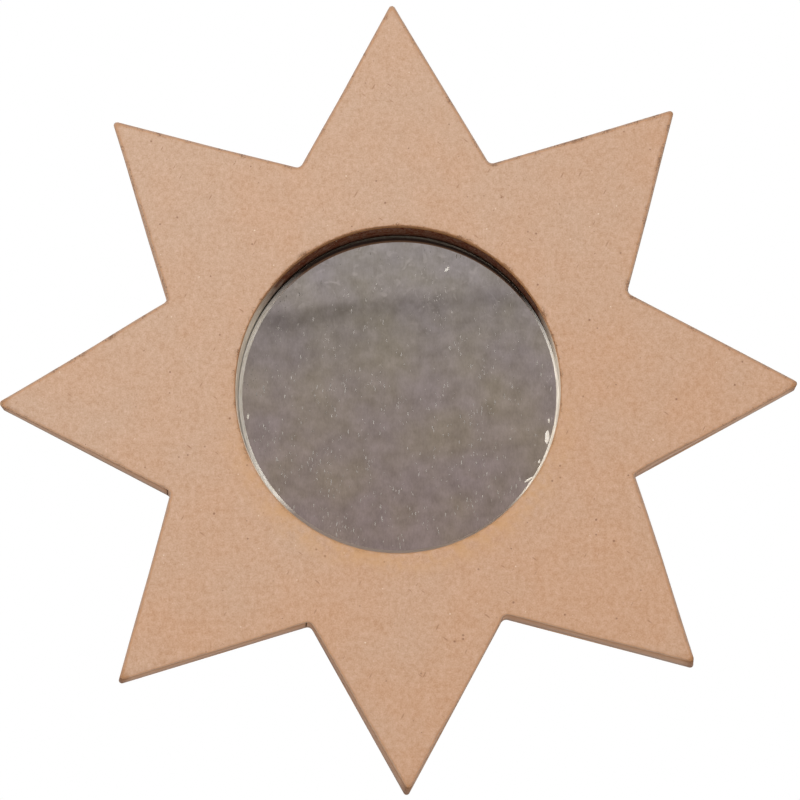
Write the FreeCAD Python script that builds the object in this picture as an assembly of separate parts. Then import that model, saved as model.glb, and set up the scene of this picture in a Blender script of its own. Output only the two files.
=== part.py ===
import FreeCAD, Part
import math
import os

# Wall mirror in the shape of a sun: a hollow eight-rayed star of card, covered with
# kraft paper, with a round mirror at the bottom of a ring in its middle.
# Millimetres. The star stands upright with its face towards -Y and +Z up. The origin is
# the middle of the back, on the wall. A depth is a distance from the wall, along -Y.

# Star
RAYS = 8
TIP_RADIUS = 125.0          # middle to the sharp tip, on the back outline
NOTCH_RADIUS = 77.5         # middle to the sharp notch between two rays
TIP_ROUND = 1.0             # the strip folds over each tip at this radius
NOTCH_ROUND = 1.8           # and turns through each notch at this one
BODY_DEPTH = 15.0           # wall to face
WALL_LEAN = 0.4             # the edge stands this much further out at the back than in front
LEAST_ROUND = 0.3           # tightest inside fold of the card

# Sheets
PAPER = 0.4
FRONT_BOARD = 2.0
BACK_BOARD = 2.5
STRIP = 1.2                 # card of the edge strips
STRIP_SEAM = 0.4            # gap between two strips where they butt in a notch
GLUE_GAP = 0.1              # board edge to strip

# Mirror in its well
MIRROR_RADIUS = 50.0
MIRROR_GAP = 0.7            # mirror edge to ring
GLASS = 2.0
ARRIS = 0.6                 # ground front edge of the glass
RING_WALL = 1.2
TAPE_PADS = 4
TAPE_SIDE = 18.0
TAPE = 0.8
TAPE_CIRCLE = 30.0          # the pads are centred on a circle of this radius

# Hanger, sunk in a cut-out of the back board
PIVOT_HEIGHT = 76.0         # middle of the star to the triangle's pivot
WIRE_RADIUS = 0.8
WIRE_CLEARANCE = 0.05       # wire to the strap's loop
TRIANGLE_SIDE = 22.0        # along the wire's middle line, corner to sharp corner
TRIANGLE_BEND = 2.5         # bend radius of the wire's middle line
WIRE_JOINT = 0.3            # gap where the wire's ends meet inside the loop
STRAP_SHEET = 0.5
STRAP_WIDTH = 8.0
STRAP_LENGTH = 8.4          # pivot to the strap's round end
RIVET_DROP = 5.0            # pivot to the rivet
RIVET_RADIUS = 1.4
RIVET_BORE = 0.8
RIVET_CLEARANCE = 0.05
RIVET_FLANGE = 2.4          # radius of its two flanges
RIVET_FLANGE_DEPTH = 0.5
WASHER_RADIUS = 4.0
WASHER = 0.5
HANGER_CARD = 1.5
CARD_LAP = 4.0              # the card reaches this far past the cut-out
CARD_EDGE_GAP = 0.5         # card to the edge strips and to the ring
WELL_MARGIN = 1.2           # wire to the sides of the cut-out

# Depths of the layers, from the wall to the face
back_inside = PAPER + BACK_BOARD
mirror_back = back_inside + TAPE
mirror_front = mirror_back + GLASS
front_outside = BODY_DEPTH - PAPER
front_inside = front_outside - FRONT_BOARD
opening_radius = MIRROR_RADIUS + MIRROR_GAP

# Star rule: all edges lie at one distance from the middle, so an inset star is a smaller one
half_ray = math.pi / RAYS
edge_length = math.sqrt(
    TIP_RADIUS ** 2 + NOTCH_RADIUS ** 2
    - 2 * TIP_RADIUS * NOTCH_RADIUS * math.cos(half_ray)
)
edge_distance = TIP_RADIUS * NOTCH_RADIUS * math.sin(half_ray) / edge_length

# Hanger places
loop_radius = WIRE_RADIUS + WIRE_CLEARANCE + STRAP_SHEET
pivot_depth = back_inside - loop_radius
strap_outside = back_inside - 2 * STRAP_SHEET
card_inside = back_inside + HANGER_CARD
washer_inside = card_inside + WASHER
triangle_height = TRIANGLE_SIDE * math.sqrt(3) / 2

TO_WALL = FreeCAD.Vector(0, 1, 0)
ALONG_X = FreeCAD.Vector(1, 0, 0)


def point(x, z, depth):
    return FreeCAD.Vector(x, -depth, z)


def rounded_wire(corners, rounds):
    """Closed outline through the corners, each one rounded by its own arc."""
    starts, middles, ends = [], [], []
    for i, corner in enumerate(corners):
        before = (corners[i - 1] - corner).normalize()
        after = (corners[(i + 1) % len(corners)] - corner).normalize()
        half = before.getAngle(after) / 2
        reach = rounds[i] / math.tan(half)
        inward = (before + after).normalize()
        starts.append(corner + before * reach)
        middles.append(corner + inward * (rounds[i] / math.sin(half) - rounds[i]))
        ends.append(corner + after * reach)
    edges = []
    for i in range(len(corners)):
        edges.append(Part.Arc(starts[i], middles[i], ends[i]).toShape())
        edges.append(Part.makeLine(ends[i], starts[(i + 1) % len(corners)]))
    return Part.Wire(edges)


def star_wire(inset, depth):
    """Star outline at a depth, its edges moved in by the inset and by the wall's lean."""
    taper = 1 - WALL_LEAN * depth / (BODY_DEPTH * edge_distance)
    shrink = taper * (edge_distance - inset) / edge_distance
    corners, rounds = [], []
    for i in range(2 * RAYS):
        is_tip = i % 2 == 0
        radius = shrink * (TIP_RADIUS if is_tip else NOTCH_RADIUS)
        angle = math.pi / 2 - i * half_ray
        corners.append(point(radius * math.cos(angle), radius * math.sin(angle), depth))
        tip_round = max(TIP_ROUND - inset, LEAST_ROUND)
        rounds.append(taper * (tip_round if is_tip else NOTCH_ROUND + inset))
    return rounded_wire(corners, rounds)


def star_slab(inset, depth_a, depth_b):
    wires = [star_wire(inset, depth_a), star_wire(inset, depth_b)]
    return Part.makeLoft(wires, True, True)


def disc(radius, depth_a, depth_b, x=0.0, z=0.0):
    return Part.makeCylinder(radius, depth_b - depth_a, point(x, z, depth_b), TO_WALL)


def block(width, height, depth_a, depth_b, x=0.0, z=0.0):
    corner = point(x - width / 2, z - height / 2, depth_b)
    return Part.makeBox(width, depth_b - depth_a, height, corner)


def lozenge(margin, depth_a, depth_b):
    """Room for the triangle both hanging and turned up, its sides a margin away from the wire."""
    offset = WIRE_RADIUS + margin
    grow = 1 + offset / (triangle_height / 2)
    half_width = grow * TRIANGLE_SIDE / 2
    half_height = grow * triangle_height
    corners = [
        point(0.0, PIVOT_HEIGHT + half_height, depth_b),
        point(half_width, PIVOT_HEIGHT, depth_b),
        point(0.0, PIVOT_HEIGHT - half_height, depth_b),
        point(-half_width, PIVOT_HEIGHT, depth_b),
    ]
    wire = rounded_wire(corners, [TRIANGLE_BEND + offset] * len(corners))
    return Part.Face(wire).extrude(TO_WALL * (depth_b - depth_a))


def ray_sector(index):
    """Wedge from the middle out past one ray, cut back by half a seam at both notches."""
    middle = math.pi / 2 - 2 * index * half_ray
    reach = 2 * TIP_RADIUS
    inner = STRIP_SEAM / 2 / math.sin(half_ray)
    start = point(inner * math.cos(middle), inner * math.sin(middle), BODY_DEPTH)
    sides = []
    for angle in (middle - half_ray, middle + half_ray):
        sides.append(start + FreeCAD.Vector(math.cos(angle), 0, math.sin(angle)) * reach)
    face = Part.Face(Part.makePolygon([start, sides[0], sides[1], start]))
    return face.extrude(TO_WALL * BODY_DEPTH)


def make_edge_strips():
    tube = star_slab(0.0, PAPER, front_outside).cut(star_slab(STRIP, PAPER, front_outside))
    return {f"ray_strip_{i + 1}": tube.common(ray_sector(i)) for i in range(RAYS)}


def make_boards():
    inset = STRIP + GLUE_GAP
    opening = disc(opening_radius, 0.0, BODY_DEPTH)
    hanger_well = lozenge(WELL_MARGIN, 0.0, back_inside)
    return {
        "front_paper": star_slab(0.0, front_outside, BODY_DEPTH).cut(opening),
        "front_board": star_slab(inset, front_inside, front_outside).cut(opening),
        "back_board": star_slab(inset, PAPER, back_inside).cut(hanger_well),
        "back_paper": star_slab(0.0, 0.0, PAPER).cut(hanger_well),
    }


def make_mirror():
    glass = disc(MIRROR_RADIUS, mirror_back, mirror_front)
    front_rim = [e for e in glass.Edges if abs(e.CenterOfMass.y + mirror_front) < ARRIS / 2]
    outer = disc(opening_radius + RING_WALL, back_inside, front_inside)
    pieces = {
        "mirror_glass": glass.makeChamfer(ARRIS, front_rim),
        "well_ring": outer.cut(disc(opening_radius, back_inside, front_inside)),
    }
    for i in range(TAPE_PADS):
        angle = 2 * math.pi * (i + 0.5) / TAPE_PADS
        x = TAPE_CIRCLE * math.cos(angle)
        z = TAPE_CIRCLE * math.sin(angle)
        pieces[f"mirror_tape_{i + 1}"] = block(TAPE_SIDE, TAPE_SIDE, back_inside, mirror_back, x, z)
    return pieces


def make_triangle():
    """Bent wire hanging point down from its base, whose ends meet inside the strap's loop."""
    corners = [
        point(-TRIANGLE_SIDE / 2, PIVOT_HEIGHT, pivot_depth),
        point(TRIANGLE_SIDE / 2, PIVOT_HEIGHT, pivot_depth),
        point(0.0, PIVOT_HEIGHT - triangle_height, pivot_depth),
    ]
    path = rounded_wire(corners, [TRIANGLE_BEND] * len(corners))
    runs = []
    for edge in path.Edges:
        start = edge.valueAt(edge.FirstParameter)
        direction = edge.tangentAt(edge.FirstParameter)
        section = Part.Face(Part.Wire(Part.makeCircle(WIRE_RADIUS, start, direction)))
        if isinstance(edge.Curve, Part.Circle):
            turn = math.degrees(edge.LastParameter - edge.FirstParameter)
            runs.append(section.revolve(edge.Curve.Center, edge.Curve.Axis, turn))
        else:
            runs.append(section.extrude(direction * edge.Length))
    joint = block(WIRE_JOINT, 4 * WIRE_RADIUS, pivot_depth - 2 * WIRE_RADIUS,
                  pivot_depth + 2 * WIRE_RADIUS, 0.0, PIVOT_HEIGHT)
    return runs[0].multiFuse(runs[1:]).removeSplitter().cut(joint)


def make_strap():
    """Sheet folded double round the wire, with a round end and a hole for the rivet."""
    straight = STRAP_LENGTH - STRAP_WIDTH / 2
    end_height = PIVOT_HEIGHT - straight
    tab = block(STRAP_WIDTH, straight, strap_outside, back_inside, 0.0, PIVOT_HEIGHT - straight / 2)
    end = disc(STRAP_WIDTH / 2, strap_outside, back_inside, 0.0, end_height)
    loop_start = point(-STRAP_WIDTH / 2, PIVOT_HEIGHT, pivot_depth)
    loop = Part.makeCylinder(loop_radius, STRAP_WIDTH, loop_start, ALONG_X)
    bore_radius = WIRE_RADIUS + WIRE_CLEARANCE
    bore = Part.makeCylinder(bore_radius, STRAP_WIDTH, loop_start, ALONG_X)
    return tab.fuse([end, loop]).removeSplitter().cut(bore).cut(rivet_hole())


def rivet_hole():
    return disc(RIVET_RADIUS + RIVET_CLEARANCE, strap_outside, washer_inside,
                0.0, PIVOT_HEIGHT - RIVET_DROP)


def make_rivet():
    height = PIVOT_HEIGHT - RIVET_DROP
    top = strap_outside - RIVET_FLANGE_DEPTH
    bottom = washer_inside + RIVET_FLANGE_DEPTH
    shank = disc(RIVET_RADIUS, top, bottom, 0.0, height)
    head = disc(RIVET_FLANGE, top, strap_outside, 0.0, height)
    clinch = disc(RIVET_FLANGE, washer_inside, bottom, 0.0, height)
    hollow = disc(RIVET_BORE, top, bottom, 0.0, height)
    return shank.fuse([head, clinch]).removeSplitter().cut(hollow)


def make_hanger():
    card = lozenge(WELL_MARGIN + CARD_LAP, back_inside, card_inside)
    ring_room = disc(opening_radius + RING_WALL + CARD_EDGE_GAP, back_inside, card_inside)
    room = star_slab(STRIP + CARD_EDGE_GAP, back_inside, card_inside).cut(ring_room)
    washer = disc(WASHER_RADIUS, card_inside, washer_inside, 0.0, PIVOT_HEIGHT - RIVET_DROP)
    return {
        "hanger_card": card.common(room).cut(rivet_hole()),
        "hanger_strap": make_strap(),
        "hanger_triangle": make_triangle(),
        "hanger_rivet": make_rivet(),
        "rivet_washer": washer.cut(rivet_hole()),
    }


def main():
    os.makedirs("parts", exist_ok=True)
    pieces = {}
    for make in (make_boards, make_edge_strips, make_mirror, make_hanger):
        pieces.update(make())
    for name, shape in pieces.items():
        solids = shape.Solids
        solid = solids[0] if len(solids) == 1 else Part.makeCompound(solids)
        solid.exportStep(f"parts/{name}.step")
        box = solid.BoundBox
        size = f"{box.XLength:.2f} x {box.YLength:.2f} x {box.ZLength:.2f}"
        print(f"{name}: {len(solids)} solid, {solid.Volume:.1f} mm3, {size} mm, valid {solid.isValid()}")


main()
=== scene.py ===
# %% [markdown]
# # A sun mirror of kraft card
# The object is a flat eight-rayed sun of kraft card with a round mirror at the bottom of a
# ring. Its construction is already packed as a frame: every solid is in metres, upright,
# with the face towards -Y and the wall at y = 0. This lesson dresses that frame. The box of
# the bare solids is kept, and the tips of the dressed sun stay just inside it.

# %% Load the frame
import bmesh
import bpy
import math
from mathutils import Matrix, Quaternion, Vector


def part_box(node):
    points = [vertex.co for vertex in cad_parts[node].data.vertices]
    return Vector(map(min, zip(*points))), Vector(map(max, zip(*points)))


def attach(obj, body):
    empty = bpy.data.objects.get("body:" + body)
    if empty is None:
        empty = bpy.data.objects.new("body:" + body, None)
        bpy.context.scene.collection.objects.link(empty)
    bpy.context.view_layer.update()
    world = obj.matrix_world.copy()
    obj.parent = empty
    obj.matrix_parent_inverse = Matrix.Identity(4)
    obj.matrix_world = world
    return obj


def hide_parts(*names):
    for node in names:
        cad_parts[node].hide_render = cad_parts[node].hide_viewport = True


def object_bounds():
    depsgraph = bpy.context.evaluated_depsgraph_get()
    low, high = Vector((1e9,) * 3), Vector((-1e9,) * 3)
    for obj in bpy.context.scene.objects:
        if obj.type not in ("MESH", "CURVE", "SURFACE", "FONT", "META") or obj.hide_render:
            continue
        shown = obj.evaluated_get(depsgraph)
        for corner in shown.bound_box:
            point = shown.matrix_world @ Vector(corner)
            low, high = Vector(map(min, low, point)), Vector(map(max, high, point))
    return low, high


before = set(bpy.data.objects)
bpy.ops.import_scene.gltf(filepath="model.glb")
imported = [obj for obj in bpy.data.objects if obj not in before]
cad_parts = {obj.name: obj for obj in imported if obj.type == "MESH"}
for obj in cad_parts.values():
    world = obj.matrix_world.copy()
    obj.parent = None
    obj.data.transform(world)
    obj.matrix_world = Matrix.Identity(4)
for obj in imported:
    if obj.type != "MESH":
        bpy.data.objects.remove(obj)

cad_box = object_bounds()
scene = bpy.context.scene
scene.view_settings.view_transform = "Standard"

# %% [markdown]
# The sun's outline follows one rule, so a few sizes give every sheet and strip: the radius
# of the tips and of the notches, the rounding of both, and how far the edge leans in from
# the back to the face. The depths of the layers are read from the solids, because the
# dressed pieces have to lie exactly where these are.

# %% Sizes of the sun
MM = 0.001
RAYS = 8
TIP_RADIUS = 125 * MM
NOTCH_RADIUS = 77.5 * MM
TIP_ROUND = 1.0 * MM
NOTCH_ROUND = 1.8 * MM
WALL_LEAN = 0.4 * MM
PAPER = 0.4 * MM            # thickness of the face sheet
RING_CARD = 1.2 * MM        # and of the card ring

body_depth = -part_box("front_paper")[0].y
strip_low, strip_high = -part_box("ray_strip_1")[1].y, -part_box("ray_strip_1")[0].y
well_floor = -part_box("well_ring")[1].y
ring_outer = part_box("well_ring")[1].x
hole_radius = ring_outer - RING_CARD
mirror_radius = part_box("mirror_glass")[1].x
mirror_back, mirror_front = -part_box("mirror_glass")[1].y, -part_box("mirror_glass")[0].y

half_ray = math.pi / RAYS
edge_length = math.sqrt(
    TIP_RADIUS ** 2 + NOTCH_RADIUS ** 2 - 2 * TIP_RADIUS * NOTCH_RADIUS * math.cos(half_ray)
)
edge_distance = TIP_RADIUS * NOTCH_RADIUS * math.sin(half_ray) / edge_length
lean_per_metre = WALL_LEAN / (body_depth * edge_distance)
print(f"face at {body_depth / MM:.2f} mm, mirror at {mirror_front / MM:.1f} mm, "
      f"hole {hole_radius / MM:.1f} mm, strips {strip_low / MM:.1f} to {strip_high / MM:.1f} mm")

# %% [markdown]
# Three helpers serve the whole lesson. Colours are written as the hex values that a painter
# would pick from a photograph, and one function turns them into the linear light that the
# shaders work in. One function adds any node, of a material or of a geometry tree, with its
# settings and its links. One function takes a finished mesh and makes it a piece that rides
# on a body of the frame.

# %% Helpers
SHARP_ANGLE = math.radians(35)          # a sharper fold than this shows as an edge


def linear(hex_code):
    """sRGB hex to linear red, green, blue and an alpha of one."""
    channels = [int(hex_code[i:i + 2], 16) / 255 for i in (1, 3, 5)]
    return [c / 12.92 if c <= 0.04045 else ((c + 0.055) / 1.055) ** 2.4 for c in channels] + [1.0]


def add(tree, kind, inputs=(), stops=(), **settings):
    """Add a node. Inputs are values, nodes or outputs, in order or by socket; stops fill a colour ramp.

    A kind in capitals is an operation of the Math node.
    """
    if kind.isupper():
        kind, settings = "ShaderNodeMath", {"operation": kind}
    node = tree.nodes.new(kind)
    for name, value in settings.items():
        setattr(node, name, value)
    for name, value in inputs.items() if isinstance(inputs, dict) else enumerate(inputs):
        if isinstance(name, int):
            socket = node.inputs[name]
        else:
            socket = next(s for s in node.inputs if s.enabled and s.name == name)
        if isinstance(value, bpy.types.Node):
            value = next(s for s in value.outputs if s.enabled)
        if isinstance(value, bpy.types.NodeSocket):
            tree.links.new(value, socket)
        else:
            socket.default_value = value
    if stops:
        band = node.color_ramp.elements
        band[0].position, band[1].position = stops[0][0], stops[-1][0]
        for position, _ in stops[1:-1]:
            band.new(position)
        for element, (_, colour) in zip(band, stops):
            element.color = linear(colour)
    return node


def new_piece(name, mesh, body, replaced=(), flat=False):
    """Make a mesh a piece that rides on a body, and stands for the nodes that it replaces."""
    if flat:
        mesh.shade_flat()
    else:
        mesh.shade_smooth()
        mesh.set_sharp_from_angle(angle=SHARP_ANGLE)
    piece = bpy.data.objects.new(name, mesh)
    scene.collection.objects.link(piece)
    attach(piece, body)
    if replaced:
        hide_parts(*replaced)
    print(f"{name}: {len(mesh.polygons)} faces on {body}")


# Kinds of node that come back often
VECTOR, MIX = "ShaderNodeVectorMath", "ShaderNodeMix"
NOISE, RAMP, RANGE = "ShaderNodeTexNoise", "ShaderNodeValToRGB", "ShaderNodeMapRange"
COORDS, MAPPING = "ShaderNodeTexCoord", "ShaderNodeMapping"
SPLIT, JOIN = "ShaderNodeSeparateXYZ", "ShaderNodeCombineXYZ"
SURFACE, OUTPUT = "ShaderNodeBsdfPrincipled", "ShaderNodeOutputMaterial"
RANDOM, TURN = "FunctionNodeRandomValue", "FunctionNodeAxisAngleToRotation"

# %% [markdown]
# The photograph was taken from a little below and almost straight ahead, with a long lens.
# The camera's place, aim, roll and lens were found by fitting the sixteen corners and the
# round rim of the real size to the picture. The image is square, so the lens and the sensor
# width fix the field of view both ways.

# %% Camera
CAMERA_PLACE = Vector((8.86, -1058.8, -207.25)) * MM
CAMERA_AIM = Vector((0.57, -15.0, -3.69)) * MM
CAMERA_ROLL = math.radians(-1.30)
LENS = 155.15               # millimetres, as is the width of the sensor
SENSOR = 36.0

camera = bpy.data.objects.new("camera", bpy.data.cameras.new("camera"))
scene.collection.objects.link(camera)
camera.data.lens = LENS
camera.data.sensor_width = SENSOR
camera.data.clip_start = 0.01
camera.location = CAMERA_PLACE
camera.rotation_mode = "QUATERNION"
aim = (CAMERA_AIM - CAMERA_PLACE).to_track_quat("-Z", "Y")
camera.rotation_quaternion = aim @ Quaternion((0, 0, 1), CAMERA_ROLL)
scene.camera = camera
print(f"camera {(CAMERA_AIM - CAMERA_PLACE).length:.3f} m away")

# %% [markdown]
# The stage is a pale floor far below, white surroundings, and soft light: a large softbox in
# front and above, a little to the left, and a weak one below on the right. White is what the
# camera, mirrors and glass see. Paper is lit by a weaker sky, dim in front and brighter from
# the backdrop behind, so that the side walls get light and the well of the mirror stays
# dark, and all of it together is at a level where a colour renders about as it is written.

# %% Stage and light
FLOOR_HEIGHT = -1.5         # metres, like the reach to each side
FLOOR_REACH = 4.0
FRONT_SKY = 0.3
BACK_SKY = 0.8


def seen_directly(tree):
    """One where a ray comes straight from the camera, a mirror or glass, and zero elsewhere."""
    path = add(tree, "ShaderNodeLightPath").outputs
    shiny = add(tree, "MAXIMUM", (path["Is Camera Ray"], path["Is Glossy Ray"]))
    clear = add(tree, "MAXIMUM", (shiny, path["Is Transmission Ray"]))
    first = add(tree, "LESS_THAN", (path["Diffuse Depth"], 0.5))
    return add(tree, "MULTIPLY", (clear, first))


def empty_material(name):
    material = bpy.data.materials.new(name)
    material.use_nodes = True
    material.node_tree.nodes.clear()
    return material, material.node_tree


def coated(material, tree, looks):
    """End a material in a surface with these looks."""
    add(tree, OUTPUT, {"Surface": add(tree, SURFACE, looks)})
    return material


def rectangle(name, corners, material):
    mesh = bpy.data.meshes.new(name)
    mesh.from_pydata(corners, [], [range(len(corners))])
    mesh.materials.append(material)
    sheet = bpy.data.objects.new(name, mesh)
    scene.collection.objects.link(sheet)
    return sheet


def make_world():
    world = bpy.data.worlds.new("studio")
    world.use_nodes = True
    scene.world = world
    tree = world.node_tree
    tree.nodes.clear()
    direction = add(tree, SPLIT, {0: add(tree, COORDS).outputs["Generated"]})
    level = add(tree, RANGE, (direction.outputs["Y"], 0.0, 0.3, FRONT_SKY, BACK_SKY))
    sky = add(tree, "ShaderNodeBackground", {"Color": linear("#FFFCF8"), "Strength": level})
    white = add(tree, "ShaderNodeBackground", {"Color": linear("#FFFFFF"), "Strength": 1.0})
    both = add(tree, "ShaderNodeMixShader", (seen_directly(tree), sky, white))
    add(tree, "ShaderNodeOutputWorld", {"Surface": both})


def make_floor():
    material, tree = empty_material("pale_floor")
    matt = add(tree, "ShaderNodeBsdfDiffuse", {"Color": linear("#E6E4E0")})
    white = add(tree, "ShaderNodeEmission", {"Color": linear("#FFFFFF"), "Strength": 1.0})
    share = add(tree, "MULTIPLY", (seen_directly(tree), 0.9))
    both = add(tree, "ShaderNodeMixShader", (share, matt, white))
    add(tree, OUTPUT, {"Surface": both})
    corners = [(x * FLOOR_REACH, y * FLOOR_REACH, FLOOR_HEIGHT)
               for x, y in ((-1, -1), (1, -1), (1, 1), (-1, 1))]
    rectangle("floor", corners, material)


make_world()
make_floor()
print(f"floor {-FLOOR_HEIGHT} m below, sky {FRONT_SKY} in front and {BACK_SKY} behind")


# %% Softboxes
def softbox(name, place, size, watts, colour):
    lamp = bpy.data.objects.new(name, bpy.data.lights.new(name, "AREA"))
    scene.collection.objects.link(lamp)
    lamp.data.size = size
    lamp.data.energy = watts
    lamp.data.color = linear(colour)[:3]
    lamp.location = place
    lamp.rotation_mode = "QUATERNION"
    lamp.rotation_quaternion = (-Vector(place)).to_track_quat("-Z", "Y")
    lamp.visible_glossy = False
    print(f"{name}: {watts} W at {Vector(place).length:.2f} m")


softbox("key_light", (-0.6, -1.0, 1.0), 0.8, 18.7, "#FFFDFA")
softbox("fill_light", (0.45, -1.15, -0.6), 0.7, 4.0, "#FFFCF8")

# %% [markdown]
# A mirror shows what stands opposite. In the photograph that is a dim brownish grey room
# with one soft darker band, so a grey card with soft blotches stands far in front. Only
# reflections see it, so it neither lights the paper nor hides the view.

# %% What the mirror sees
CARD_PLACE = Vector((0.0, -2.5, 0.42))
CARD_SIZE = (3.2, 2.2)
CARD_BLOTCH = 0.045         # metres, like the rest of the card
BAND_WAVE = 0.16
CARD_GLOW = 1.2


def make_grey_card():
    material, tree = empty_material("grey_card")
    place = add(tree, COORDS).outputs["Object"]
    spot = add(tree, SPLIT, {0: place}).outputs
    shade = add(tree, RANGE, (spot["Z"], 0.34, 0.66))
    base = add(tree, RAMP, {"Fac": shade}, ((0.0, "#897A73"), (0.45, "#8C8079"), (1.0, "#948D89")))
    blotch = add(tree, NOISE, {"Vector": place, "Scale": 1 / CARD_BLOTCH, "Detail": 2.0})
    hue = add(tree, RAMP, {"Fac": blotch}, ((0.3, "#BFBEB7"), (0.7, "#BBBAC1")))
    tinted = add(tree, MIX, {0: 0.2, 6: base, 7: hue}, data_type="RGBA", blend_type="LINEAR_LIGHT")
    # the band rises to the right and fades there
    wave = add(tree, NOISE, {"Vector": place, "Scale": 1 / BAND_WAVE, "Detail": 1.0})
    level = add(tree, "MULTIPLY_ADD", (wave, 0.03, spot["Z"]))
    level = add(tree, "MULTIPLY_ADD", (spot["X"], -0.05, level))
    band = add(tree, RAMP, {"Fac": level}, (
        (0.53, "#FFFFFF"), (0.575, "#EEEEED"), (0.584, "#EEEEED"), (0.593, "#CFCECC"),
        (0.6, "#CFCECC"), (0.61, "#FFFFFF")))
    fade = add(tree, RANGE, (spot["X"], -0.15, 0.16, 1.0, 0.45))
    colour = add(tree, MIX, {0: fade, 6: tinted, 7: band}, data_type="RGBA", blend_type="MULTIPLY")
    glow = add(tree, "ShaderNodeEmission", {"Color": colour, "Strength": CARD_GLOW})
    add(tree, OUTPUT, {"Surface": glow})
    half_width, half_height = CARD_SIZE[0] / 2, CARD_SIZE[1] / 2
    corners = [CARD_PLACE + Vector((x * half_width, 0, z * half_height))
               for x, z in ((-1, -1), (-1, 1), (1, 1), (1, -1))]
    card = rectangle("grey_card", corners, material)
    card.visible_camera = False
    card.visible_diffuse = False
    card.visible_shadow = False


make_grey_card()

# %% [markdown]
# Kraft paper is pressed from long unbleached fibres. It is matt, tan, and never one colour:
# broad clouds lean to pink or to yellow, the tooth of the fibres is a fine grain, and specks
# of bark, short darker fibres and a few pale bits lie scattered through it. All of that is
# procedural, with every scale worked out from a size in millimetres, and every kraft piece
# starts from it.

# %% Bare kraft
CLOUD = 22 * MM             # breadth of the pink and yellow clouds
GRAINS = (                  # size, detail, roughness, strength
    (5 * MM, 3.0, 0.6, 0.05),       # mottle
    (1.5 * MM, 2.0, 0.6, 0.1),      # clumps of fibres
    (0.5 * MM, 2.0, 0.7, 0.13))     # fibre tooth, drawn coarser than the real 0.1 mm so that it shows
SPECKS = (                  # cell with one speck or none, length, lean, share of empty cells, size, colour
    (2.6 * MM, 1.0, 0.0, 0.7, 0.19, "#8A6048"),     # bark
    (1.6 * MM, 5.0, 0.5, 0.55, 0.17, "#A67C60"),    # fibres that lean one way
    (1.9 * MM, 5.0, -0.9, 0.55, 0.15, "#A67C60"),   # and the other
    (2.9 * MM, 1.0, 0.0, 0.6, 0.12, "#F0E0CE"))     # pale bits
SPECK_HEART = 0.45          # share of a speck's size that is of one strength
SPECK_STRENGTH = 0.75


def bare_kraft(tree, pale, orange, seed, warmth=0.0):
    """Nodes for the bare paper: its colour, its mottle and its tooth."""
    place = add(tree, COORDS).outputs["Object"]
    place = add(tree, MAPPING, {"Vector": place, "Location": (seed, seed, seed)})
    cloud = add(tree, NOISE, {"Vector": place, "Scale": 1 / CLOUD, "Detail": 3.0})
    warm = add(tree, "ADD", (cloud, warmth))
    colour = add(tree, RAMP, {"Fac": warm}, ((0.2, pale), (0.8, orange)))
    grains = []
    for size, detail, roughness, strength in GRAINS:
        grains.append(add(tree, NOISE, {"Vector": place, "Scale": 1 / size, "Detail": detail,
                          "Roughness": roughness}))
        colour = add(tree, MIX, {0: strength, 6: colour, 7: grains[-1]}, data_type="RGBA",
                     blend_type="LINEAR_LIGHT")
    for cell, long, lean, least, largest, speck in SPECKS:
        laid = add(tree, MAPPING, {"Vector": place, "Rotation": (0.0, lean, 0.0), "Scale": (1.0, 1.0, long)},
                   vector_type="TEXTURE")
        cells = add(tree, "ShaderNodeTexVoronoi", {"Vector": laid, "Scale": 1 / cell})
        lucky = add(tree, "ShaderNodeSeparateColor", {0: cells.outputs["Color"]})
        size = add(tree, RANGE, (lucky, least, 1.0, 0.0001, largest))
        heart = add(tree, "MULTIPLY", (size, SPECK_HEART))
        inside = add(tree, RANGE, (cells, size, heart, 0.0, SPECK_STRENGTH))
        colour = add(tree, MIX, {0: inside, 6: colour, 7: linear(speck)}, data_type="RGBA")
    mottle, _, tooth = grains
    return colour, mottle, tooth


def matt_paper(material, tree, colour, mottle, tooth):
    """Matt, fibrous and a little rough: no gloss, and a tooth that breaks the light."""
    height = add(tree, "ADD", (mottle, tooth))
    bump = add(tree, "ShaderNodeBump", {"Strength": 0.3, "Distance": 0.08 * MM, "Height": height})
    return coated(material, tree, {"Base Color": colour, "Roughness": 0.92, "Specular IOR Level": 0.2,
                  "Normal": bump})


print("kraft:", len(GRAINS), "grains and", len(SPECKS), "kinds of speck over one cloud")

# %% [markdown]
# Each kraft piece has its own wear. The face is worn to a greyish hem along the fold of its
# edge, with an uneven orange line beside it, its tips are rubbed brown, the rim of the hole is
# frayed, and glue has left a yellow stain below the hole. It also has painted shade: it turns
# darker and more orange towards the lower right. The distances to the edge and to the
# rim come with the mesh, as attributes, so the wear follows the cut. Each kind of wear is first
# worked out as a share, and then their colours are laid over the paper one after another. The
# strips are rubbed at the fold and darkened with painted shade along their back edge, by the
# wall, and the lining of the well has painted shade, dark brown above, and painted light, pale
# at both sides.

# %% Kraft of the face
GLUE_REACH = 9 * MM         # of the yellow stain, from the rim
TORN_REACH = 1.8 * MM       # of the dark fibres, from both cuts
TORN_FULL = 0.5 * MM        # and here they are strongest
RUBBED = 1.5 * MM           # this far from its end a tip is rubbed brown all over


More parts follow.
